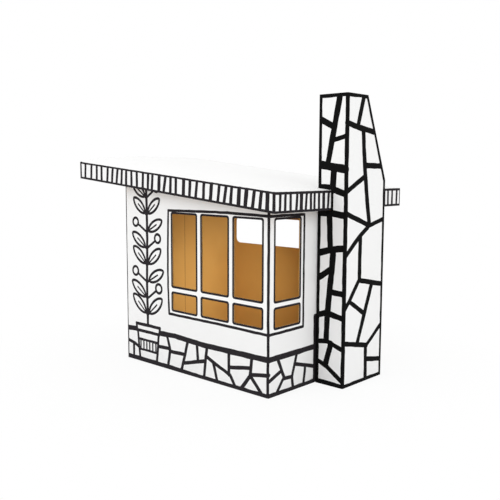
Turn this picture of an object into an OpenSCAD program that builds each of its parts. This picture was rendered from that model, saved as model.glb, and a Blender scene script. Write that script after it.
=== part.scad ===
// Cardboard playhouse: a wall tube, a tray roof and a chimney tube, each folded from one sheet.
// Modelled from the left front corner of the walls, then moved so that the origin is the
// middle of the whole footprint on the floor. X runs along the front, Y to the back, Z up.

/* [Board] */
// Thickness of the corrugated board
board = 7; // [4:1:10]
// Radius on the inner side of a fold
fold_inner = 1; // [0.5:0.5:4]
// Length of the flap that closes a tube
glue_flap = 60; // [30:5:90]
// Gap along a closed or tucked seam
seam_gap = 0.5; // [0.2:0.1:1.5]
// Width of a scored crease
crease_w = 6; // [2:1:12]
// Depth of a scored crease
crease_d = 2; // [1:0.5:3]
// Gap between pieces that stand against or on each other
seat_gap = 0.3; // [0.1:0.1:1]

/* [Walls] */
// Length of the front wall
wall_w = 1200; // [1100:10:1500]
// Depth of the house
wall_d = 980; // [900:10:1300]

/* [Corner window] */
// Number of pane columns in the front wall
front_columns = 3; // [1:1:4]
// Width of each pane
pane_w = 202; // [150:1:220]
// Width of the bar between panes and beside the corner
bar_w = 50; // [30:1:60]
// Height of the lower panes above the floor
pane_z = 372; // [200:1:450]
// Height of the lower panes
low_pane_h = 98; // [60:1:120]
// Height of the bar between lower and upper panes
transom_h = 44; // [20:1:60]
// Height of the upper panes
high_pane_h = 427; // [250:1:440]
// Corner radius of the panes
pane_r = 8; // [2:1:20]

/* [Back wall] */
// Width of the post between the hatch and the doorway
post_w = 50; // [30:1:150]
// Height of the hatch
hatch_h = 190; // [100:2:200]
// Height of the hatch's sill above the floor
hatch_z = 673; // [500:1:700]
// Distance of the hatch from the left end of the wall
hatch_side = 28; // [20:1:60]
// Corner radius of the hatch
hatch_r = 36; // [5:1:45]
// Width of the doorway
door_w = 430; // [300:5:450]
// Height of the doorway
door_h = 900; // [600:5:940]
// Distance of the doorway from the right end of the wall
door_side = 80; // [75:1:100]
// Corner radius at the top of the doorway
door_r = 60; // [10:1:120]

/* [Roof] */
// Height of the eave on the right
eave_h = 1090; // [1060:1:1120]
// How much higher the eave is on the left
roof_rise = 155; // [60:1:200]
// Overhang on the left
over_left = 381; // [100:1:450]
// Overhang on the right
over_right = 93; // [60:1:150]
// Overhang at the front
over_front = 71; // [40:1:150]
// Overhang at the back
over_back = 137; // [40:1:200]
// Height of the fascia
fascia_h = 108; // [70:1:130]
// Height of the crown of the sheet at its left edge
crown_h = 43; // [10:1:60]
// Length of the tabs tucked behind the side fascias
corner_tab = 60; // [30:1:80]
// How far the tabs stop short of the fascia's edges
tab_clear = 12; // [5:1:20]

/* [Chimney] */
// Distance of the chimney from the front wall
chimney_y = 402; // [350:1:450]
// Depth of the chimney in front of the side wall
chimney_out = 190; // [160:1:240]
// Width of the chimney at the floor
chimney_w = 390; // [300:1:420]
// Width of the chimney at the top
chimney_top_w = 198; // [150:1:260]
// Height where the chimney begins to narrow
shoulder_h = 1143; // [1125:1:1250]
// Height of the chimney
chimney_h = 1605; // [1450:1:1800]
// Clearance of the notch round the roof's edge
notch_clear = 3; // [1:0.5:6]

/* [Hidden] */

fold_r = board + fold_inner;
through = 20;
crown_steps = 20;
eave_steps = 3;
roof_slices = 6;
arc_step = 15;

roof_x0 = -over_left;
roof_x1 = wall_w + over_right;
roof_y0 = -over_front;
roof_y1 = wall_d + over_back;
part_x1 = max(roof_x1, wall_w + chimney_out);
centre = [(roof_x0 + part_x1) / 2, (roof_y0 + roof_y1) / 2];

// The crown is a flat-topped curve that starts at the front fold
crown_power = 4;
crown_back = 0.8;
crown_half = (roof_y1 - roof_y0) / (1 + crown_back);
crown_mid = roof_y0 + crown_half;

function steps(a, b, n) = [for (i = [0:n]) a + (b - a) * i / n];
function reversed(list) = [for (i = [len(list) - 1:-1:0]) list[i]];
function arc(cx, cy, r, a, b) =
    [for (t = steps(a, b, abs(b - a) / arc_step)) [cx + r * cos(t), cy + r * sin(t)]];

// Height of the roof's front fold, and of its crowned sheet, which is straight along X
function eave_z(x) = eave_h + roof_rise * (roof_x1 - x) / (roof_x1 - roof_x0);
function crown_share(y) = 1 - pow(abs(y - crown_mid) / crown_half, crown_power);
function sheet_z(x, y) =
    eave_z(x) + crown_h * crown_share(y) * (roof_x1 - x) / (roof_x1 - roof_x0);

// Straight top edge of the walls, from the roof's seat on the front wall to that on the back
function wall_top(x, y) =
    let (front = sheet_z(x, 0), back = sheet_z(x, wall_d))
    front + (back - front) * y / wall_d - board - seat_gap;

// Section of a sheet folded into a tube, w by d, whose end flap lies inside the last wall.
// A crease halves both side walls where scored is true.
function folded_tube(w, d, scored) =
    let (
        ri = fold_r - board,
        x1 = w - board - seam_gap,
        c = crease_w / 2
    )
    concat(
        [[w, d]],
        arc(w - fold_r, fold_r, fold_r, 0, -90),
        arc(fold_r, fold_r, fold_r, -90, -180),
        arc(fold_r, d - fold_r, fold_r, 180, 90),
        arc(x1 - fold_r, d - fold_r, fold_r, 90, 0),
        [[x1, d - glue_flap], [x1 - board, d - glue_flap]],
        arc(x1 - fold_r, d - fold_r, ri, 0, 90),
        arc(fold_r, d - fold_r, ri, 90, 180),
        scored ? [[board, d / 2 + c], [board - crease_d, d / 2], [board, d / 2 - c]] : [],
        arc(fold_r, fold_r, ri, 180, 270),
        arc(w - fold_r, fold_r, ri, 270, 360),
        scored ? [[w - board, d / 2 - c], [w - board + crease_d, d / 2], [w - board, d / 2 + c]] : [],
        [[w - board, d]]
    );

// Section of the roof's sheet at x: front fascia, crowned top and back fascia, as [y, z]
function roof_section(x) =
    let (
        f0 = roof_y0 + fold_r,
        b0 = roof_y1 - fold_r,
        ys = roof_stations(),
        front = sheet_z(x, f0),
        back = sheet_z(x, b0)
    )
    concat(
        [[roof_y0, front - fascia_h]],
        arc(f0, front - fold_r, fold_r, 180, 90),
        [for (y = ys) [y, sheet_z(x, y)]],
        arc(b0, back - fold_r, fold_r, 90, 0),
        [[roof_y1, back - fascia_h], [roof_y1 - board, back - fascia_h]],
        arc(b0, back - fold_r, fold_inner, 0, 90),
        [for (y = reversed(ys)) [y, sheet_z(x, y) - board]],
        arc(f0, front - fold_r, fold_inner, 90, 180),
        [[roof_y0 + board, front - fascia_h]]
    );
function roof_stations() = concat(
    inner_steps(roof_y0 + fold_r, 0, eave_steps),
    steps(0, wall_d, crown_steps),
    inner_steps(wall_d, roof_y1 - fold_r, eave_steps)
);
function inner_steps(a, b, n) = [for (i = [1:n - 1]) a + (b - a) * i / n];

module in_place() {
    translate([-centre.x, -centre.y, 0]) children();
}

// Solid through a row of rings. Each ring runs along one side of a strip and back along the
// other, with as many points on both, and anticlockwise as seen along the row.
module loft(rings) {
    n = len(rings[0]);
    last = (len(rings) - 1) * n;
    polyhedron(
        points = [for (ring = rings) each ring],
        faces = concat(
            [for (i = [0:n / 2 - 2]) [n - 1 - i, n - 2 - i, i + 1, i]],
            [for (i = [0:n / 2 - 2]) [last + i, last + i + 1, last + n - 2 - i, last + n - 1 - i]],
            [for (k = [0:n:last - n], i = [0:n - 1])
                let (a = k + i, b = k + (i + 1) % n)
                each [[a, b, a + n], [b, b + n, a + n]]]
        ),
        convexity = 10
    );
}

module rounded(w, h, r) {
    translate([r, 0]) square([w - 2 * r, h]);
    translate([0, r]) square([w, h - 2 * r]);
    for (x = [r, w - r], y = [r, h - r]) {
        translate([x, y]) circle(r, $fn = 24);
    }
}

// Opening in a wall that faces the front, from its lower left corner
module opening(x, z, w, h, r, y) {
    translate([x, y + board + through / 2, z])
        rotate([90, 0, 0])
            linear_extrude(board + through) rounded(w, h, r);
}

// One column of the corner window: a low pane under a high one
module pane_column(x) {
    opening(x, pane_z, pane_w, low_pane_h, pane_r, 0);
    opening(x, pane_z + low_pane_h + transom_h, pane_w, high_pane_h, pane_r, 0);
}

module corner_window() {
    for (i = [1:front_columns]) {
        pane_column(wall_w - i * (bar_w + pane_w));
    }
    translate([wall_w, 0, 0]) rotate([0, 0, 90]) pane_column(bar_w);
}

module back_openings() {
    y = wall_d - board;
    door_x = wall_w - door_side - door_w;
    hatch_w = door_x - post_w - hatch_side;
    opening(hatch_side, hatch_z, hatch_w, hatch_h, hatch_r, y);
    opening(door_x, -door_r - 1, door_w, door_h + door_r + 1, door_r, y);
}

// Everything above the walls' top edges
module above_walls() {
    top = eave_h + roof_rise + crown_h + through;
    loft([for (x = [-1, wall_w + 1]) [
        [x, -1, wall_top(x, -1)],
        [x, -1, top],
        [x, wall_d + 1, top],
        [x, wall_d + 1, wall_top(x, wall_d + 1)]
    ]]);
}

module walls() {
    color("white") in_place() difference() {
        linear_extrude(eave_h + roof_rise + crown_h) polygon(folded_tube(wall_w, wall_d, true));
        above_walls();
        corner_window();
        back_openings();
    }
}

// Fascia on the left or right, with its top buried in the sheet
module side_fascia(x, x_low) {
    f0 = roof_y0 + fold_r;
    b0 = roof_y1 - fold_r;
    ys = concat([f0], roof_stations(), [b0]);
    outline = concat(
        [[roof_y0, sheet_z(x_low, f0) - fascia_h], [roof_y0, sheet_z(x_low, f0) - fold_r]],
        [for (y = ys) [y, sheet_z(x_low, y) - board / 2]],
        [[roof_y1, sheet_z(x_low, b0) - fold_r], [roof_y1, sheet_z(x_low, b0) - fascia_h]]
    );
    translate([x, 0, 0]) rotate([90, 0, 90]) linear_extrude(board) polygon(outline);
}

// Tab folded from the end of the front or back fascia, behind a side fascia
module tuck_tab(x, y) {
    z0 = sheet_z(x + board, y < 0 ? roof_y0 + fold_r : roof_y1 - fold_r) - fascia_h + tab_clear;
    translate([x, y, z0]) cube([board, corner_tab, fascia_h - board - 2 * tab_clear]);
}

// Seam between the end of the front or back fascia and a side fascia
module corner_seam(x, y) {
    z0 = eave_h - fascia_h - through;
    z1 = sheet_z(x + seam_gap, y < 0 ? roof_y0 + fold_r : roof_y1 - fold_r) - fold_r;
    translate([x, y - seam_gap, z0]) cube([seam_gap, board + 2 * seam_gap, z1 - z0]);
}

module roof() {
    left = roof_x0 + board;
    right = roof_x1 - board;
    color("white") in_place() {
        difference() {
            union() {
                loft([for (x = steps(roof_x0, roof_x1, roof_slices))
                    [for (p = roof_section(x)) [x, p.x, p.y]]]);
                side_fascia(roof_x0, left);
                side_fascia(right, roof_x1);
            }
            for (y = [roof_y0, roof_y1 - board]) {
                corner_seam(left, y);
                corner_seam(right - seam_gap, y);
            }
        }
        for (y = [roof_y0, roof_y1 - corner_tab]) {
            tuck_tab(left + seam_gap, y);
            tuck_tab(right - seam_gap - board, y);
        }
    }
}

// Notch from the wall side that lets the roof's edge into the tube
module roof_notch() {
    x0 = -seat_gap - 1;
    x1 = over_right + notch_clear;
    low = sheet_z(roof_x1, roof_y0 + fold_r) - fascia_h - notch_clear;
    function over_roof(x) = sheet_z(wall_w + x, crown_mid) + seat_gap;
    translate([wall_w, chimney_y + chimney_w + 1, 0])
        rotate([90, 0, 0])
            linear_extrude(chimney_w + 2)
                polygon([[x0, low], [x1, low], [x1, over_roof(x1)], [x0, over_roof(x0)]]);
}

// Section of the chimney's tube for a width, with its straight side at the front
function chimney_ring(w, z) =
    [for (p = folded_tube(w, chimney_out - seat_gap, false))
        [wall_w + chimney_out - p.y, chimney_y + p.x, z]];

module chimney() {
    color("white") in_place() difference() {
        loft([
            chimney_ring(chimney_w, 0),
            chimney_ring(chimney_w, shoulder_h),
            chimney_ring(chimney_top_w, chimney_h)
        ]);
        roof_notch();
    }
}

walls();
roof();
chimney();
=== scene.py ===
import random
from collections import namedtuple
from math import cos, hypot, pi, radians, sin

import bmesh
import bpy
from mathutils import Euler, Matrix, Vector, geometry, noise


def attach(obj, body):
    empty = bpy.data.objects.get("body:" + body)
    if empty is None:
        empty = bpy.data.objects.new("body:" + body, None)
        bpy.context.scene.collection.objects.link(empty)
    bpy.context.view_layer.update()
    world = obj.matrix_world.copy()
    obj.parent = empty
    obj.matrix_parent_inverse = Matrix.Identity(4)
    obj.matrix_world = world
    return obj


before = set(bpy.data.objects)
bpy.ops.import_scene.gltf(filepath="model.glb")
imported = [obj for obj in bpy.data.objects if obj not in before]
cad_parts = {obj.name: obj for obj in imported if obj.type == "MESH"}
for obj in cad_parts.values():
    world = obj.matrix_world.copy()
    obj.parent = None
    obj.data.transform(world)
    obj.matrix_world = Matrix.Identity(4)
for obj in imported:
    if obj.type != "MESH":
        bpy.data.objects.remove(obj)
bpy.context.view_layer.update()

# View and light. The view is from the near right corner, over a plain white floor that keeps a
# faint shadow. An even white sky and three large soft lamps light the house, and a small one
# lights its inside.


class Wire:
    """One socket of a material. Sums and comparisons on it add Math nodes."""

    def __init__(self, finish, socket):
        self.finish = finish
        self.socket = socket

    def math(self, operation, *values):
        return self.finish.node("ShaderNodeMath", {"operation": operation}, dict(enumerate(values)))

    def __add__(self, other):
        return self.math("ADD", self, other)

    def __radd__(self, other):
        return self.math("ADD", other, self)

    def __sub__(self, other):
        return self.math("SUBTRACT", self, other)

    def __rsub__(self, other):
        return self.math("SUBTRACT", other, self)

    def __mul__(self, other):
        return self.math("MULTIPLY", self, other)

    def __rmul__(self, other):
        return self.math("MULTIPLY", other, self)

    def __truediv__(self, other):
        return self.math("DIVIDE", self, other)

    def __rtruediv__(self, other):
        return self.math("DIVIDE", other, self)

    def __pow__(self, other):
        return self.math("POWER", self, other)

    def __lt__(self, other):
        return self.math("LESS_THAN", self, other)

    def __gt__(self, other):
        return self.math("GREATER_THAN", self, other)

    def __abs__(self):
        return self.math("ABSOLUTE", self)

    def wave(self, length):
        return self.math("SINE", self * (2 * pi / length))

    def least(self, other):
        return self.math("MINIMUM", self, other)

    def most(self, other):
        return self.math("MAXIMUM", self, other)


class Finish:
    """A named material, or the sky. Each of its nodes comes from the one method node()."""

    def __init__(self, name, owners=bpy.data.materials, output="ShaderNodeOutputMaterial"):
        self.owner = owners.new(name)
        self.owner.use_nodes = True
        self.tree = self.owner.node_tree
        self.tree.nodes.clear()
        self.output = output

    def node(self, kind, settings=None, sockets=None, out=0):
        made = self.tree.nodes.new(kind)
        for key, value in (settings or {}).items():
            setattr(made, key, value)
        for key, value in (sockets or {}).items():
            if isinstance(value, Wire):
                self.tree.links.new(value.socket, made.inputs[key])
            else:
                made.inputs[key].default_value = value
        return Wire(self, made.outputs[out]) if made.outputs else None

    def noise(self, scale, detail=3.0):
        where = self.node("ShaderNodeTexCoord", out="Object")
        return self.node("ShaderNodeTexNoise", {}, {"Vector": where, "Scale": scale, "Detail": detail})

    def mix(self, share, a, b):
        return self.node("ShaderNodeMix", {"data_type": "RGBA"}, {0: share, 6: a, 7: b}, out=2)

    def surface(self, shader):
        self.node(self.output, {}, {"Surface": shader})
        return self.owner

    def shows(self):
        """1 where the camera sees the surface, directly or by way of another one."""
        rays = [self.node("ShaderNodeLightPath", out=name) for name in
                ("Is Camera Ray", "Is Glossy Ray", "Is Transmission Ray")]
        return rays[0].most(rays[1]).most(rays[2])


EYE = (3.0155, -3.1801, 1.1982)
PAN, TILT, ROLL = radians(42.73), radians(83.386), radians(0.219)
turn = Euler((0, 0, PAN)).to_matrix() @ Euler((TILT, 0, 0)).to_matrix()
turn = turn @ Euler((0, 0, ROLL)).to_matrix()
camera = bpy.data.objects.new("camera", bpy.data.cameras.new("camera"))
camera.data.lens = 49.77
camera.data.sensor_width = 36.0
camera.matrix_world = Matrix.Translation(Vector(EYE)) @ turn.to_4x4()
bpy.context.collection.objects.link(camera)
bpy.context.scene.camera = camera
bpy.context.scene.view_settings.view_transform = "Standard"

# The sky is pure white where it shows, and lights the house a little less than that.
SKY_LIGHT = 0.9
sky = Finish("sky", bpy.data.worlds, "ShaderNodeOutputWorld")
bpy.context.scene.world = sky.surface(sky.node("ShaderNodeBackground", {}, {
    "Color": (1, 1, 1, 1), "Strength": SKY_LIGHT + sky.shows() * (1 - SKY_LIGHT)}))


def soft_lamp(name, place, aim, size, power, spread=180):
    lamp = bpy.data.objects.new(name, bpy.data.lights.new(name, "AREA"))
    lamp.data.shape = "SQUARE"
    lamp.data.size = size
    lamp.data.energy = power
    lamp.data.spread = radians(spread)
    lamp.visible_camera = False
    lamp.location = place
    lamp.rotation_euler = (Vector(aim) - Vector(place)).to_track_quat("-Z", "Y").to_euler()
    bpy.context.collection.objects.link(lamp)


soft_lamp("key_lamp", (-1.5, -5.0, 4.5), (0, 0, 0.6), 4.0, 66)
soft_lamp("side_lamp", (5.5, -1.0, 3.5), (0, 0, 0.6), 4.0, 46)
soft_lamp("top_lamp", (0, 0, 6.0), (0, 0, 0), 4.0, 22)
soft_lamp("inner_lamp", (0.27, -0.12, 0.5), (-0.5, 0.2, 0.42), 0.4, 1.6, spread=100)

FLOOR_HALF = 30.0
floor_bm = bmesh.new()
bmesh.ops.create_grid(floor_bm, x_segments=1, y_segments=1, size=FLOOR_HALF)
floor_mesh = bpy.data.meshes.new("floor")
floor_bm.to_mesh(floor_mesh)
floor_bm.free()
floor = bpy.data.objects.new("floor", floor_mesh)
bpy.context.collection.objects.link(floor)

# The floor's own white hides most of the shadow near the house, and all of it further off. The
# shadow fades from SHADOW_REACH metres on, by SHADOW_FADE a metre.
SHADOW = 0.12
SHADOW_REACH = 0.9
SHADOW_FADE = 1.2
paper = Finish("white_floor")
spot = paper.node("ShaderNodeTexCoord", out="Object")
reach = paper.node("ShaderNodeVectorMath", {"operation": "LENGTH"}, {0: spot}, out="Value")
plain = ((reach - SHADOW_REACH) * SHADOW_FADE).least(1.0).most(0.0)
floor.data.materials.append(paper.surface(paper.node("ShaderNodeMixShader", {}, {
    0: paper.shows() * (1 - SHADOW + plain * SHADOW),
    1: paper.node("ShaderNodeBsdfDiffuse", {}, {"Color": (0.9, 0.9, 0.9, 1)}),
    2: paper.node("ShaderNodeEmission", {}, {"Color": (1, 1, 1, 1), "Strength": 1.0})})))

# Walls. One sheet of double-wall corrugated board with a white outer liner, creased and folded
# into a tube and glued at the back right corner. Its inner liner and cut edges are kraft.

MM = 0.001
CORNER = (504.5, 523.0)
BOARD = 7.0
LINER = 0.45
FLUTE = 8.0
BEND = 8.0
BEND_STEPS = 6
WALL_W = 1200.0
WALL_D = 980.0
FRAME_LEFT = 408.0
FRAME_DEPTH = 285.0
FRAME_LOW, FRAME_HIGH = 350.0, 955.0
WHITE = (0.89, 0.89, 0.885, 1)
WHITE_DIM = (0.87, 0.87, 0.87, 1)
WHITE_FRAME = (0.92, 0.92, 0.915, 1)
KRAFT = (0.64, 0.355, 0.085, 1)
KRAFT_DIM = (0.59, 0.32, 0.075, 1)
KRAFT_FIBRE = (0.52, 0.29, 0.11, 1)
# Painted shade: the dark inside the hollow flutes where the board's cut edge shows.
HOLLOW_SHADE_TONE = (0.16, 0.09, 0.035, 1)


def corner_mm(finish):
    """Object coordinates in millimetres from the walls' near left corner on the floor."""
    where = finish.node("ShaderNodeTexCoord", out="Object")
    axes = [finish.node("ShaderNodeSeparateXYZ", {}, {0: where}, out=i) for i in range(3)]
    return axes[0] * (1 / MM) + CORNER[0], axes[1] * (1 / MM) + CORNER[1], axes[2] * (1 / MM)


def rounded_depth(a, b):
    """How deep a point lies under two faces that meet in a rounded fold."""
    qa = (BEND - a).most(0.0)
    qb = (BEND - b).most(0.0)
    return BEND - (qa * qa + qb * qb) ** 0.5


def board_finish(finish, depth, along, frame_field=None):
    """Board whose outer liner is white, with kraft fibres and flutes where it was cut, and
    painted shade in the hollows between the flutes. The depth is that under its outer face, in
    millimetres, and along is the way across its flutes."""
    printed = depth < LINER
    patches = finish.noise(9.0)
    fibres = finish.noise(420.0, 5.0)
    white_tone = finish.mix(patches * 0.5, WHITE, WHITE_DIM)
    if frame_field is not None:
        white_tone = finish.mix(frame_field, white_tone, WHITE_FRAME)
    kraft_tone = finish.mix(patches, KRAFT, KRAFT_DIM)
    kraft_tone = finish.mix((fibres * 2.0 - 0.9).most(0.0), kraft_tone, KRAFT_FIBRE)
    # Each of the two layers holds a fluted paper that swings about the layer's middle. What lies
    # off the paper, and off the liners, is hollow, and there a dark kraft is painted as the shade
    # inside the flutes.
    layer = BOARD / 2
    swing = 1.1
    level = finish.node("ShaderNodeMath", {"operation": "PINGPONG"}, {0: depth, 1: layer})
    off_paper = abs(level - layer / 2 - along.wave(FLUTE) * swing) > LINER
    hollow_shade = off_paper * (level > 0.5) * (level < layer - 0.4)
    hollow_shade = hollow_shade * (depth > 0.6) * (depth < BOARD - 0.4)
    # Painted shade: the hollows darken the cut edge as the shade inside the flutes would.
    kraft_tone = finish.mix(hollow_shade * 0.75, kraft_tone, HOLLOW_SHADE_TONE)
    tone = finish.mix(printed, kraft_tone, white_tone)
    relief = along.wave(FLUTE) * 0.00002 + fibres * 0.00008
    bump = finish.node("ShaderNodeBump", {}, {"Height": relief, "Strength": 0.5, "Distance": 1.0})
    rough = 0.82 - printed * 0.2 + patches * 0.08
    return finish.surface(finish.node("ShaderNodeBsdfPrincipled", {}, {
        "Base Color": tone, "Roughness": rough, "Normal": bump, "Specular IOR Level": 0.25}))


def dress(node, material):
    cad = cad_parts[node]
    cad.data.materials.clear()
    cad.data.materials.append(material)


# The board's cut edge shows at the glued corner, and the printed window frame is a cleaner white
# than the wall round it.
wall = Finish("wall_board")
wall_x, wall_y, wall_z = corner_mm(wall)
wall_depth = rounded_depth(wall_x.least(WALL_W - wall_x), wall_y.least(WALL_D - wall_y))
raw_edge = (wall_x > WALL_W - BOARD - 0.3) * (wall_y > WALL_D - 1)
front_frame = (wall_x > FRAME_LEFT) * (wall_y < 1)
side_frame = (wall_x > WALL_W - BEND - 1) * (wall_y < FRAME_DEPTH)
window_field = (wall_z > FRAME_LOW) * (wall_z < FRAME_HIGH) * front_frame.most(side_frame)
wall_board = board_finish(wall, wall_depth + raw_edge * 3, wall_x + wall_y, window_field)
dress("walls", wall_board)


# Print on the walls. The ink is laid flat on the sheet and folded with it: lines drawn by hand
# with a broad marker, joined where they cross, 0.1 mm thick.

INK_TOP = 0.1
INK_FOOT = 0.02
DISC_POINTS = 16
STEP = 30.0
SWAY = 0.12
SWAY_MOST = 2.0


def disc(at, radius):
    return [(at[0] + radius * cos(2 * pi * k / DISC_POINTS),
             at[1] + radius * sin(2 * pi * k / DISC_POINTS)) for k in range(DISC_POINTS)]


def stroke(points, width):
    """Outlines of the short lengths and round joints of one line drawn by hand. Between its
    points the line sways a little, and its width swells and thins."""
    shapes = [disc(p, width / 2) for p in points]
    for (ax, ay), (bx, by) in zip(points, points[1:]):
        length = hypot(bx - ax, by - ay)
        nx, ny = (ay - by) / length, (bx - ax) / length
        count = max(1, round(length / STEP))
        rim = []
        for k in range(count + 1):
            px, py = ax + (bx - ax) * k / count, ay + (by - ay) * k / count
            drift = noise.noise(Vector((px, py, width)) * 0.02) * min(SWAY_MOST, width * SWAY)
            drift = drift if 0 < k < count else 0.0
            half = width / 2 * (1 + SWAY * noise.noise(Vector((px, py, 50)) * 0.03))
            rim.append(((px + nx * (drift - half), py + ny * (drift - half)),
                        (px + nx * (drift + half), py + ny * (drift + half))))
        shapes += [[r0[0], r1[0], r1[1], r0[1]] for r0, r1 in zip(rim, rim[1:])]
    return shapes


def slab(u0, v0, u1, v1):
    return [(u0, v0), (u1, v0), (u1, v1), (u0, v1)]


def rounded_slab(u0, v0, u1, v1, r):
    corners = [(u1 - r, v1 - r, 0), (u0 + r, v1 - r, 1), (u0 + r, v0 + r, 2), (u1 - r, v0 + r, 3)]
    return [(cu + r * cos(pi / 2 * (q + k / 4)), cv + r * sin(pi / 2 * (q + k / 4)))
            for cu, cv, q in corners for k in range(5)]


def flat_ink(shapes, cuts):
    """A flat mesh of all the shapes joined, without what the cuts cover."""
    points = []
    rings = []
    for shape in shapes + cuts:
        rings.append(list(range(len(points), len(points) + len(shape))))
        points += [Vector(p) for p in shape]
    made = geometry.delaunay_2d_cdt(points, [], rings, 1, 0.001, True)
    flat = bmesh.new()
    verts = [flat.verts.new((p[0], p[1], 0)) for p in made[0]]
    for face, origin in zip(made[2], made[5]):
        if origin and max(origin) < len(shapes):
            flat.faces.new([verts[i] for i in face])
    loose = [v for v in flat.verts if not v.link_faces]
    bmesh.ops.delete(flat, geom=loose, context="VERTS")
    bmesh.ops.dissolve_limit(flat, angle_limit=0.01, verts=flat.verts, edges=flat.edges)
    return flat


def clip(flat, a, b, keep_left=True):
    """Cuts the flat mesh along the line from a to b. keep_left drops what is right of it."""
    across = Vector((b[1] - a[1], a[0] - b[0], 0)).normalized()
    bmesh.ops.bisect_plane(flat, geom=flat.verts[:] + flat.edges[:] + flat.faces[:], dist=0.0005,
                           plane_co=Vector((a[0], a[1], 0)), plane_no=across,
                           clear_outer=keep_left)


# A rail is a straight line on the folded sheet: how far along the flat sheet its low and its high
# end are, where they are on the house, and which way the sheet faces there.
Rail = namedtuple("Rail", "s_low at_low s_high at_high facing")
RAIL_TOP = 1300.0


def upright_rail(s, x, y, degrees, foot=0.0, head=RAIL_TOP):
    """A rail that stands upright, at s along the sheet."""
    facing = Vector((cos(radians(degrees)), sin(radians(degrees)), 0))
    return Rail(s, Vector((x, y, foot)), s, Vector((x, y, head)), facing)


def fold_rails(s, x, y, start, foot=0.0, head=RAIL_TOP):
    """Rails round a fold whose axis is at x, y, from one face's direction to the next."""
    rails = []
    for k in range(BEND_STEPS + 1):
        share = k / BEND_STEPS
        degrees = start + 90 * share
        rails.append(upright_rail(s - BEND + 2 * BEND * share, x + BEND * cos(radians(degrees)),
                                  y + BEND * sin(radians(degrees)), degrees, foot, head))
    return rails


def clip_to_rails(flat, rails, low, high, upright):
    """Trims the flat mesh to what lies between the outer rails, and cuts it along the others."""
    def at(s, along):
        return (s, along) if upright else (along, s)

    ends = [(at(r.s_low, low), at(r.s_high, high)) for r in rails]
    first, last = ends[0], ends[-1]
    if upright:
        edges = [last, first[::-1], (first[0], last[0]), (last[1], first[1])]
    else:
        edges = [first, last[::-1], (first[1], last[1]), (last[0], first[0])]
    for a, b in edges:
        clip(flat, a, b)
    for a, b in ends[1:-1]:
        clip(flat, a, b, keep_left=False)


def on_sheet(rails, s, t, lift):
    """The place at s along the folded sheet and a share t up its rails, lifted off its face."""
    here = [(r.s_low + (r.s_high - r.s_low) * t, r.at_low.lerp(r.at_high, t), r.facing)
            for r in rails]
    k = 0
    while k < len(here) - 2 and s > here[k + 1][0]:
        k += 1
    (s0, place0, facing0), (s1, place1, facing1) = here[k], here[k + 1]
    share = (s - s0) / (s1 - s0)
    return place0.lerp(place1, share) + facing0.lerp(facing1, share).normalized() * lift


def folded_ink(name, finish, rails, low, high, shapes, cuts=(), upright=True):
    """A piece of ink on a sheet that is straight along its rails, which run from low to high."""
    flat = flat_ink(shapes, list(cuts))
    clip_to_rails(flat, rails, low, high, upright)
    top = bmesh.ops.extrude_face_region(flat, geom=flat.faces[:])
    bmesh.ops.translate(flat, vec=(0, 0, 1),
                        verts=[g for g in top["geom"] if isinstance(g, bmesh.types.BMVert)])
    bmesh.ops.recalc_face_normals(flat, faces=flat.faces)
    for vert in flat.verts:
        s, along = (vert.co.x, vert.co.y) if upright else (vert.co.y, vert.co.x)
        lift = INK_TOP if vert.co.z > 0.5 else INK_FOOT
        place = on_sheet(rails, s, (along - low) / (high - low), lift)
        vert.co = (place - Vector((CORNER[0], CORNER[1], 0))) * MM
    mesh = bpy.data.meshes.new(name)
    flat.to_mesh(mesh)
    flat.free()
    mesh.materials.append(finish)
    ink = bpy.data.objects.new(name, mesh)
    bpy.context.collection.objects.link(ink)
    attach(ink, "root")


def ink_finish(name, tone, gloss):
    """Water-based printing ink: matt, with a little board showing where it is thin."""
    finish = Finish(name)
    thin = finish.noise(60.0, 4.0)
    worn = (finish.noise(900.0, 2.0) > 0.66) * 0.25
    colour = finish.mix(thin * 0.5 + worn, tone, tuple(c * 2.2 + 0.006 for c in tone[:3]) + (1,))
    bump = finish.node("ShaderNodeBump", {}, {
        "Height": thin * 0.00003, "Strength": 0.3, "Distance": 1.0})
    return finish.surface(finish.node("ShaderNodeBsdfPrincipled", {}, {
        "Base Color": colour, "Roughness": 0.6 + thin * 0.2, "Normal": bump,
        "Specular IOR Level": gloss}))


# Places along the sheet: the front wall runs from 0 to 1200, the right wall from there to 2180,
# the left wall from 0 down to -980 and the back wall on to -2160, 20 mm short of the corner.
# Heights are above the floor.
BACK_END = -2160.0
wall_rails = [upright_rail(BACK_END, -WALL_D - BACK_END, WALL_D, 90)]
wall_rails += fold_rails(-WALL_D, BEND, WALL_D - BEND, 90)
wall_rails += fold_rails(0.0, BEND, BEND, 180)
wall_rails += fold_rails(WALL_W, WALL_W - BEND, BEND, 270)
wall_rails += [upright_rail(WALL_W + WALL_D, WALL_W, WALL_D, 0)]

panes = [(1200 - 252 * i, 1402 - 252 * i) for i in (1, 2, 3)] + [(1250, 1452)]
pane_rows = [(372, 470), (514, 941)]
hatch = rounded_slab(-1620, 673, -1008, 863, 36)
doorway = slab(-2100, -5, -1670, 900)
openings = [rounded_slab(a, low, b, high, 8) for a, b in panes for low, high in pane_rows]
openings += [hatch, doorway]

# Each pane has a ring of ink round it, and a drawn frame runs round all of them.
window_lines = [rounded_slab(a - 13, low - 12, b + 13, high + 12, 16)
                for a, b in panes for low, high in pane_rows]
window_lines += stroke([(410, 960), (403, 700), (402, 500), (410, 342)], 16)
window_lines += stroke([(410, 960), (900, 968), (1200, 962), (1488, 960)], 16)
window_lines += stroke([(410, 342), (800, 344), (1200, 340), (1488, 342)], 16)
window_lines += stroke([(1488, 342), (1488, 960)], 16)
corner_lines = stroke([(1197, 0), (1197, 1080)], 20)
corner_lines += stroke([(7, 0), (7, 1205)], 12) + stroke([(8, 0), (8, 205)], 18)

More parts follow.
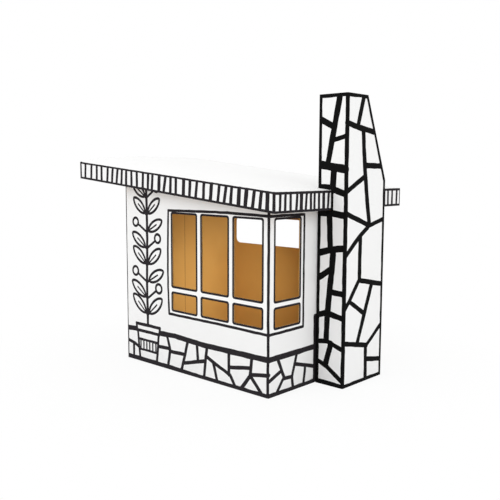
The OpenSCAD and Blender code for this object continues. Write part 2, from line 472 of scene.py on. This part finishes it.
JOINT = 22
CREST = 32
left_joints = [[(8, 118), (75, 105), (120, 88)], [(65, 95), (65, 15)]]
front_joints = [
    [(312, 124), (405, 128)], [(387, 208), (415, 125), (395, 10)], [(423, 113), (545, 117)],
    [(575, 205), (515, 10)], [(650, 205), (660, 95)], [(540, 65), (720, 112)],
    [(735, 200), (710, 10)], [(727, 142), (815, 107), (920, 70), (957, 15)],
    [(785, 118), (815, 20)], [(910, 200), (910, 70)], [(920, 115), (1070, 140)],
    [(1083, 205), (1070, 100)], [(1076, 104), (1205, 125)], [(1070, 97), (1003, 15)],
    [(1076, 93), (1155, 14)]]
right_joints = [
    [(1206, 91), (1294, 125)], [(1277, 195), (1328, 90), (1271, 20)], [(1328, 82), (1396, 78)],
    [(1437, 207), (1396, 75), (1406, 10)], [(1430, 141), (1583, 98)], [(1510, 107), (1498, 24)]]
left_crest = [(0, 197), (95, 202)]
front_crest = [(330, 208), (460, 214), (595, 207), (735, 202), (920, 204), (1200, 208)]


def course(crest, joints, shift=0):
    """The printed line over a course of stones and the joints between them, moved along."""
    lines = stroke([(u + shift, v) for u, v in crest], CREST)
    for joint in joints:
        lines += stroke([(u + shift, v) for u, v in joint], JOINT)
    return lines


stone_lines = course(left_crest, left_joints) + course(front_crest, front_joints)
stone_lines += course([(1200, 207), (1590, 209)], right_joints)
stone_lines += stroke([(1595, 383), (1597, 8)], 27) + stroke([(1590, 387), (1612, 389)], 16)
stone_lines += stroke([(-2160, 8), (2175, 8)], 30) + stroke([(0, 12), (400, 12), (640, 6)], 34)

# The courses carry on round the sides that the front ones hide: the left wall, the back wall on
# both sides of the doorway, and the end of the right wall behind the chimney.
hidden_stone = course([(-980, 207), (0, 206)], [[(-975, 118), (-905, 105), (-850, 128)],
                                                [(-915, 95), (-910, 15)]])
hidden_stone += course(front_crest, front_joints, -1205)
hidden_stone += course([(330, 208), (460, 213), (735, 203), (1195, 207)], front_joints[3:], -2175)
hidden_stone += course([(0, 207), (90, 206)], left_joints, -2170)
hidden_stone += course([(1985, 207), (2175, 209)], [[(1990, 110), (2060, 122), (2175, 96)],
                                                    [(2060, 122), (2050, 12)],
                                                    [(2110, 205), (2105, 108)]])


def turned(points, at, degrees, size):
    """Points of a motif, turned and scaled about where it grows."""
    c, s = cos(radians(degrees)) * size, sin(radians(degrees)) * size
    return [(at[0] + p[0] * c - p[1] * s, at[1] + p[0] * s + p[1] * c) for p in points]


# A plain potted plant stands in for the print beside the window: an upright stem with pairs of
# pointed leaves and round buds by turns, in a tapered pot with one striped band.
LEAF = [(52 - 52 * cos(pi * k / 12), 21 * sin(pi * k / 12) ** 1.3) for k in range(13)]
LEAF += [(u, -v) for u, v in reversed(LEAF[:-1])]
BUD = [(70 + 19 * (1 - cos(pi * k / 9)), 19 * sin(pi * k / 9)) for k in range(19)]


def leaf(root, degrees, size):
    """A leaf with its midrib, on a short stalk."""
    start = turned([(15, 0)], root, degrees, size)[0]
    lines = stroke([root, start], 16) + stroke(turned(LEAF, start, degrees, size), 16)
    return lines + stroke(turned([(8, 0), (62, 0)], start, degrees, size), 10)


def bud(root, degrees, size):
    """A bud on a long stalk."""
    tip = turned([BUD[0]], root, degrees, size)[0]
    return stroke([root, tip], 15) + stroke(turned(BUD, root, degrees, size), 16)


plant_lines = stroke([(208, 238), (204, 500), (212, 780), (208, 1085)], 22)
for k in range(8):
    for side in (-1, 1):
        motif = bud if (k + (side > 0)) % 3 == 2 else leaf
        plant_lines += motif((207, 305 + 103 * k), 90 - side * (50 + 6 * (k % 3)), 1.5 - 0.03 * k)
plant_lines += stroke([(95, 238), (322, 238), (316, 196), (101, 196), (95, 238)], 20)
plant_lines += stroke([(107, 196), (128, 12), (290, 12), (310, 196)], 20)
plant_lines += stroke([(114, 142), (304, 142)], 16) + stroke([(120, 78), (297, 78)], 16)
for k in range(6):
    plant_lines += stroke([(136 + 29 * k, 82), (136 + 29 * k, 138)], 13)

soft_black = ink_finish("soft_black_ink", (0.012, 0.010, 0.012, 1), 0.12)
folded_ink("wall_print", soft_black, wall_rails, 0, RAIL_TOP,
           window_lines + corner_lines + stone_lines + hidden_stone + plant_lines, openings)

# Roof. A tray of the same board: a crowned sheet with a fascia folded down at the front and back,
# and one at each end, each printed as a row of upright boards.

ROOF_X = (-381.0, 1293.0)
ROOF_Y = (-71.0, 1117.0)
ROOF_LOW = 1090.0
ROOF_RISE = 155.0
CROWN = 43.0
CROWN_HALF = 660.0
CROWN_MID = ROOF_Y[0] + CROWN_HALF
CROWN_SAG = 1.0
FASCIA = 108.0


def sheet_z(x, y):
    """Height of the top of the roof's sheet, for numbers or for a material's coordinates."""
    crown = 1 - abs((y - CROWN_MID) / CROWN_HALF) ** 4
    return ROOF_LOW + (ROOF_RISE + CROWN * crown) * ((ROOF_X[1] - x) / (ROOF_X[1] - ROOF_X[0]))


# The solid's flat facets lie up to CROWN_SAG under the crowned top.
roof = Finish("roof_board")
roof_x, roof_y, roof_z = corner_mm(roof)
under_top = (sheet_z(roof_x, roof_y) - roof_z - CROWN_SAG).most(0.0)
roof_depth = rounded_depth((roof_y - ROOF_Y[0]).least(ROOF_Y[1] - roof_y), under_top)
roof_depth = roof_depth.least((roof_x - ROOF_X[0]).least(ROOF_X[1] - roof_x)).most(0.0)
dress("roof", board_finish(roof, roof_depth, roof_y))


def fascia_rails(y, facing):
    """Rails along the front or back fascia, from its lower edge up and round the fold."""
    axis_y = y - facing * BEND
    heights = [(0.0, y, 0.0, 0.0)]
    for k in range(BEND_STEPS + 1):
        part = k / BEND_STEPS
        rise = radians(90 * part)
        heights.append((FASCIA - BEND + 2 * BEND * part, axis_y + facing * BEND * cos(rise),
                        FASCIA - BEND + BEND * sin(rise), rise))
    rails = []
    for v, place_y, height, rise in heights:
        low, high = [Vector((x, place_y, sheet_z(x, axis_y) - FASCIA + height))
                     for x in (ROOF_X if facing < 0 else ROOF_X[::-1])]
        rails.append(Rail(v, low, v, high, Vector((0, facing * cos(rise), sin(rise)))))
    return rails


def board_lines(places, bottom, top):
    """Joints between the upright boards of a fascia, each given by where its foot and its head
    are along the fascia and by its width."""
    lines = []
    for foot, head, width in places:
        lines += stroke([(foot, bottom(foot) + 3), (head, top(head) - 3)], width)
    return lines


LOW_LINE, HIGH_LINE = 6.0, 104.0


def long_fascia(name, y, facing, boards, end_lines):
    """Ink on the front or back fascia. Places along it run from left to right as seen from
    outside, so they are x at the front and minus x at the back."""
    left, right = ROOF_X if facing < 0 else (-ROOF_X[1], -ROOF_X[0])
    lines = board_lines(boards, lambda u: LOW_LINE, lambda u: HIGH_LINE)
    lines += stroke([(left + 3, LOW_LINE), (right - 3, LOW_LINE)], 14)
    lines += stroke([(left + 3, HIGH_LINE), (right - 3, HIGH_LINE)], 15)
    for u, width in end_lines:
        lines += stroke([(u, 0), (u, FASCIA + 4)], width)
    folded_ink(name, soft_black, fascia_rails(y, facing), left, right, lines, upright=False)


front_boards = [(foot, head, 22) for foot, head in (
    (-325, -321), (-260, -253), (-200, -197), (-146, -146), (-88, -80), (-38, -28), (8, 22),
    (57, 65), (105, 108), (157, 157), (209, 209), (264, 268), (312, 316), (348, 356), (454, 472),
    (512, 516), (559, 561), (673, 679), (723, 735), (785, 791), (896, 908), (943, 959),
    (992, 1000), (1146, 1160), (1196, 1208))]
front_boards += [(foot, head, 27) for foot, head in (
    (411, 417), (623, 627), (839, 849), (1048, 1054), (1096, 1106), (1246, 1248))]
long_fascia("front_fascia_print", ROOF_Y[0], -1, front_boards, [(-373, 18), (1288, 16)])
back_boards = [(-1240 + 53 * k, -1240 + 53 * k + 4 * (k % 3), 27 if k % 5 == 2 else 22)
               for k in range(30)]
long_fascia("back_fascia_print", ROOF_Y[1], 1, back_boards, [(-1288, 16), (373, 18)])

CREST_STEPS = 16
WELL_UNDER, WELL_OVER = 900, 1400


def end_fascia(name, x, degrees, boards, gap=None):
    """Ink on an end fascia, which is flat: its top line follows the sheet's crown. Nothing is
    printed in the gap, where the chimney stands."""
    side = 1 if degrees == 0 else -1
    left, right = sorted((ROOF_Y[0] * side, ROOF_Y[1] * side))

    def top(u):
        return sheet_z(x, min(ROOF_Y[1] - BEND - 1, max(ROOF_Y[0] + BEND + 1, u * side)))

    def bottom(u):
        share = (u * side - ROOF_Y[0]) / (ROOF_Y[1] - ROOF_Y[0])
        return (top(ROOF_Y[0] * side) * (1 - share) + top(ROOF_Y[1] * side) * share) - FASCIA

    crest = [left + 6 + (right - left - 12) * k / CREST_STEPS for k in range(CREST_STEPS + 1)]
    lines = board_lines(boards, bottom, top)
    lines += stroke([(u, top(u) - 7) for u in crest], 14)
    lines += stroke([(u, bottom(u) + 6) for u in (crest[0], crest[-1])], 14)
    for end, inner in ((left, left + 3), (right, right - 3)):
        lines += stroke([(inner, bottom(end) + 6), (inner, top(end) - 12)], 13)

    # What is above the fascia, below it and in the gap is cut off, from 20 mm past its ends.
    before, past = left - 20, right + 20
    above = [(before, WELL_OVER), (before, top(crest[0]) - 8)] + [(u, top(u)) for u in crest]
    above += [(past, top(crest[-1]) - 8), (past, WELL_OVER)]
    below = [(before, WELL_UNDER), (past, WELL_UNDER), (past, bottom(right)),
             (before, bottom(left))]
    cuts = [above, below]
    if gap:
        cuts.append(slab(gap[0], WELL_UNDER, gap[1], WELL_OVER))
    rails = [upright_rail(u, x, u * side, degrees) for u in (left, right)]
    folded_ink(name, soft_black, rails, 0, RAIL_TOP, lines, cuts)


right_boards = [(foot, head, 20) for foot, head in (
    (-29, -25), (12, 16), (56, 55), (101, 109), (179, 188), (223, 223), (254, 254), (293, 293),
    (371, 379), (820, 822), (862, 862), (902, 900), (940, 940), (981, 979), (1025, 1025),
    (1076, 1078))]
right_boards += [(142, 143, 28), (334, 334, 26), (404, 404, 10)]
end_fascia("right_fascia_print", ROOF_X[1], 0, right_boards, gap=(409, 785))
left_boards = [(-1065 + 54 * k, -1065 + 54 * k + 4 * (k % 3), 28 if k % 4 == 1 else 20)
               for k in range(21)]
end_fascia("left_fascia_print", ROOF_X[0], 180, left_boards)

# Chimney. A tube of the same board, open above and below, with its far side cut to slant in above
# the roof and a notch on the wall side that hooks over the roof's edge. Printed as rubble stone.

CHIM_X = (1200.3, 1390.0)
CHIM_Y = (402.0, 792.0)
SHOULDER = 1143.0
CHIM_TOP = 1605.0
CHIM_IN = 192.0
CHIM_D = CHIM_X[1] - CHIM_X[0]
CHIM_W = CHIM_Y[1] - CHIM_Y[0]
FAR_LEFT = -CHIM_D - CHIM_W + 2 * BEND
FAR_RIGHT = CHIM_W + CHIM_D
NOTCH_X = 1296.0
NOTCH_Z = 979.0
SEAT = 0.3
BEYOND = 2000.0

stack = Finish("chimney_board")
stack_x, stack_y, stack_z = corner_mm(stack)
far_face = CHIM_Y[1] - (stack_z - SHOULDER).most(0.0) * (CHIM_IN / (CHIM_TOP - SHOULDER))
stack_depth = rounded_depth((stack_x - CHIM_X[0]).least(CHIM_X[1] - stack_x),
                            (stack_y - CHIM_Y[0]).least(far_face - stack_y))
dress("chimney", board_finish(stack, stack_depth, stack_x + stack_y))


def leaned(rail, way):
    """The rail with its head leaned in by CHIM_IN, and moved as far along the sheet, which is
    forward for way 1 and back for way -1."""
    return rail._replace(s_high=rail.s_high + way * CHIM_IN,
                         at_high=rail.at_high + Vector((0, -CHIM_IN, 0)))


def stack_rails(upper):
    """Rails of the chimney's sheet from the wall side round by the left and outer faces to the far
    one. Above the shoulder those on the far side lean in."""
    foot, head = (SHOULDER, CHIM_TOP) if upper else (0.0, SHOULDER)
    inner, outer = CHIM_X[0] + BEND, CHIM_X[1] - BEND
    first = upright_rail(FAR_LEFT, CHIM_X[0], CHIM_Y[1] - 2 * BEND, 180, foot, head)
    front = fold_rails(-CHIM_D, inner, CHIM_Y[0] + BEND, 180, foot, head)
    front += fold_rails(0.0, outer, CHIM_Y[0] + BEND, 270, foot, head)
    far = fold_rails(CHIM_W, outer, CHIM_Y[1] - BEND, 0, foot, head)
    far += [upright_rail(FAR_RIGHT, CHIM_X[0], CHIM_Y[1], 90, foot, head)]
    if upper:
        first = leaned(first, 1)
        far = [leaned(rail, -1) for rail in far]
    return [first] + front + far


def stack_width(v):
    return CHIM_W - max(0.0, v - SHOULDER) * CHIM_IN / (CHIM_TOP - SHOULDER)


# Joints as a weight and points. The left face runs from the wall out to the front corner, and the
# outer face from there to the far edge. The marker is broader on the left face.
LEFT_BROAD, OUTER_BROAD = 1.6, 1.35
left_face = [
    (23, [(138, 1590), (103, 1412), (67, 1237)]), (21, [(10, 1475), (103, 1428)]),
    (16, [(104, 1360), (182, 1378)]), (28, [(5, 1230), (190, 1202)]),
    (26, [(108, 1204), (100, 1092)]), (22, [(0, 1106), (80, 1103), (189, 1070)]),
    (10, [(99, 1092), (99, 966)]), (23, [(0, 963), (93, 966), (190, 955)]),
    (24, [(83, 955), (92, 764)]), (23, [(10, 741), (91, 764), (175, 777)]),
    (25, [(111, 745), (104, 650), (92, 540), (81, 417)]), (21, [(10, 600), (90, 653)]),
    (21, [(100, 532), (185, 528)]), (21, [(5, 391), (71, 412), (178, 393)]),
    (23, [(79, 407), (74, 259)]), (17, [(5, 241), (79, 252), (182, 219)]),
    (22, [(106, 243), (73, 123)]), (17, [(10, 134), (82, 107), (185, 37)]),
    (21, [(0, 12), (190, 8)])]
outer_face = [
    (26, [(149, 1591), (102, 1445)]), (24, [(0, 1448), (98, 1429), (276, 1407)]),
    (28, [(151, 1415), (175, 1200), (202, 1035), (227, 911)]), (24, [(184, 1224), (357, 1223)]),
    (22, [(181, 1167), (0, 1080)]), (21, [(0, 969), (228, 891)]), (19, [(228, 891), (382, 923)]),
    (22, [(218, 883), (140, 838), (10, 739)]), (26, [(144, 832), (143, 604)]),
    (21, [(140, 591), (388, 541)]), (22, [(133, 585), (47, 481), (5, 440)]),
    (20, [(47, 484), (193, 398)]), (26, [(265, 552), (138, 241)]), (21, [(4, 254), (232, 206)]),
    (20, [(232, 210), (380, 310)]), (24, [(220, 200), (224, 14)]), (21, [(236, 125), (382, 97)])]
stack_lines = []
for weight, line in left_face:
    stack_lines += stroke([(u - CHIM_D, v) for u, v in line], LEFT_BROAD * weight)
for weight, line in outer_face:
    stack_lines += stroke(line, OUTER_BROAD * weight)


def rubble(left, right, low, high, seed):
    """Rough courses between two edges, given as functions of the height."""
    chance = random.Random(seed)
    lines = []
    v = low
    before = None
    while v < high - 70:
        v += chance.uniform(110, 165)
        a, b = left(v) + 4, right(v) - 4
        knee = (a + (b - a) * chance.uniform(0.35, 0.65), v + chance.uniform(-22, 22))
        if v < high - 40:
            lines += stroke([(a, v + chance.uniform(-18, 18)), knee,
                             (b, v + chance.uniform(-22, 22))], 22)
        if before:
            lines += stroke([before, knee], 24)
        before = (knee[0] + chance.uniform(-20, 20), knee[1]) if v < high - 40 else None
    return lines


# The far face and the wall side above the roof, which the photo doesn't show, are filled by rule.
stack_lines += rubble(stack_width, lambda v: stack_width(v) + CHIM_D, 20, CHIM_TOP, 11)
stack_lines += rubble(lambda v: -CHIM_D - stack_width(v) + 2 * BEND, lambda v: -CHIM_D,
                      1110, CHIM_TOP, 4)
stack_lines += stroke([(FAR_LEFT, 9), (FAR_RIGHT, 9)], 25)
stack_lines += stroke([(FAR_LEFT, CHIM_TOP - 9), (FAR_RIGHT, CHIM_TOP - 9)], 22)

# Lines down the four edges: the place at the foot, how far the head leans in, and the width.
for at_foot, lean, width in ((-CHIM_D + 8, 0, 32), (2, 0, 33), (CHIM_W - 2, CHIM_IN, 50),
                             (FAR_RIGHT - 8, CHIM_IN, 30)):
    stack_lines += stroke([(at_foot, 0), (at_foot, SHOULDER)], width)
    stack_lines += stroke([(at_foot, SHOULDER), (at_foot - lean, CHIM_TOP)], width)

# The notch takes its part of the print from the left and far faces and from the wall side.
edge = NOTCH_X - CHIM_X[1]
edge_top, wall_top = [sheet_z(x, CROWN_MID) + SEAT for x in (NOTCH_X, CHIM_X[0])]
notch = [[(-BEYOND, NOTCH_Z), (edge, NOTCH_Z), (edge, edge_top), (-CHIM_D, wall_top),
          (-BEYOND, wall_top)],
         [(CHIM_W - edge, NOTCH_Z), (BEYOND, NOTCH_Z), (BEYOND, wall_top),
          (FAR_RIGHT, wall_top), (CHIM_W - edge, edge_top)]]
deep_black = ink_finish("deep_black_ink", (0.002, 0.002, 0.002, 1), 0.05)
folded_ink("chimney_lower_print", deep_black, stack_rails(False), 0, SHOULDER, stack_lines, notch)
folded_ink("chimney_upper_print", deep_black, stack_rails(True), SHOULDER, CHIM_TOP,
           stack_lines, notch)
